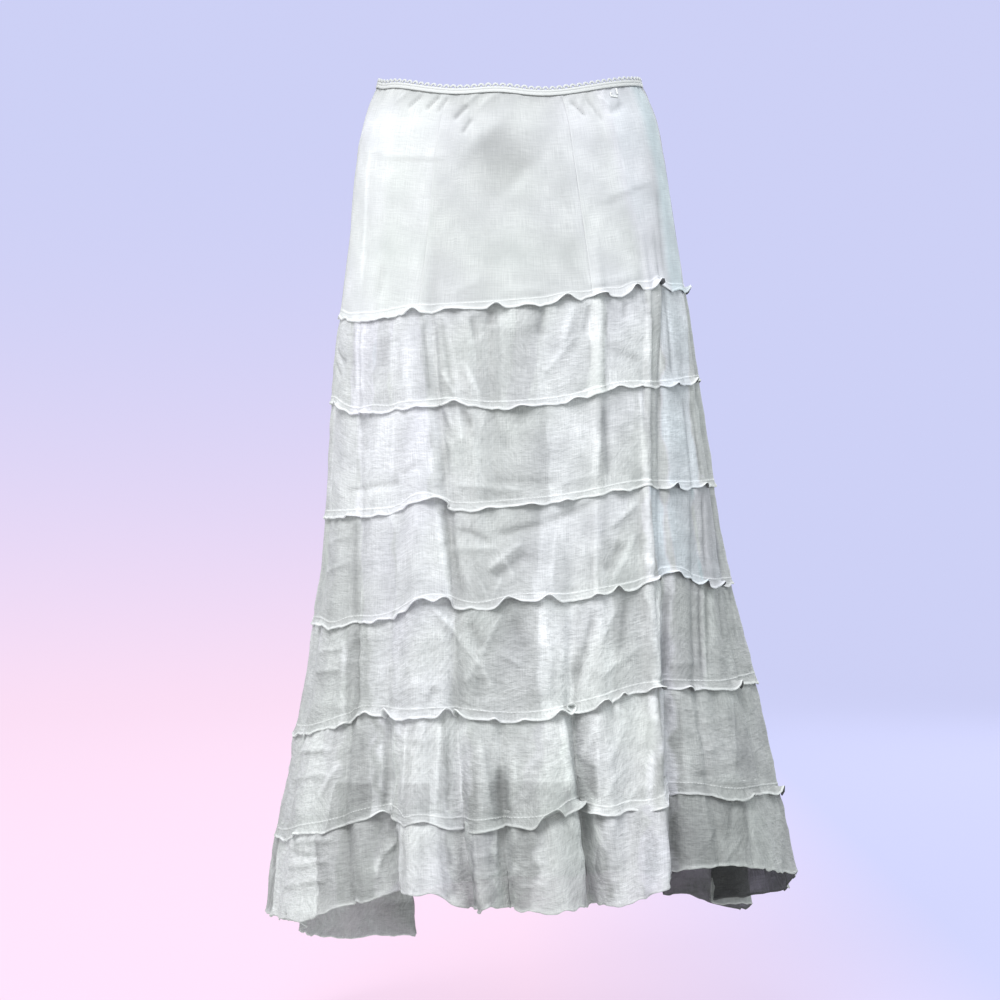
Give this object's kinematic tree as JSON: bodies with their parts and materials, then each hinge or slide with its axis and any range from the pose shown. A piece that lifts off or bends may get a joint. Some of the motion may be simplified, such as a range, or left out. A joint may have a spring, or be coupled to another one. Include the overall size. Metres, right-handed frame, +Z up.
{
  "type": "tiered ruffle skirt",
  "caption": "Long white gauze skirt with a picot elastic waist, a gored yoke, gathered tiers with ruffled free edges and a lining, worn and hollow.",
  "frame": {"origin": "middle of the waist ring, in the plane of the waist at the wearer's sides, where the wearer holds the skirt up", "axes": "+Z up, -Y towards the front, +X towards the wearer's left"},
  "size_m": [0.5911, 0.5076, 0.9983],
  "materials": {
    "elastic": "white picot-edged elastic with a fine ribbed face",
    "yoke_gauze": "crinkled white cotton gauze over a lining, matt",
    "tier_gauze": "sheer crinkled white cotton gauze, matt, whiter where it lies double",
    "lining_lawn": "fine white cotton lawn, matt"
  },
  "bodies": {
    "root": {"waistband": "elastic", "yoke_front_centre": "yoke_gauze", "yoke_front_left": "yoke_gauze", "yoke_front_right": "yoke_gauze", "yoke_back_centre": "yoke_gauze", "yoke_back_left": "yoke_gauze", "yoke_back_right": "yoke_gauze", "tier_1": "tier_gauze", "tier_2": "tier_gauze", "tier_3": "tier_gauze", "tier_4": "tier_gauze", "tier_5": "tier_gauze", "tier_6": "tier_gauze", "lining": "lining_lawn"}
  },
  "joints": []
}
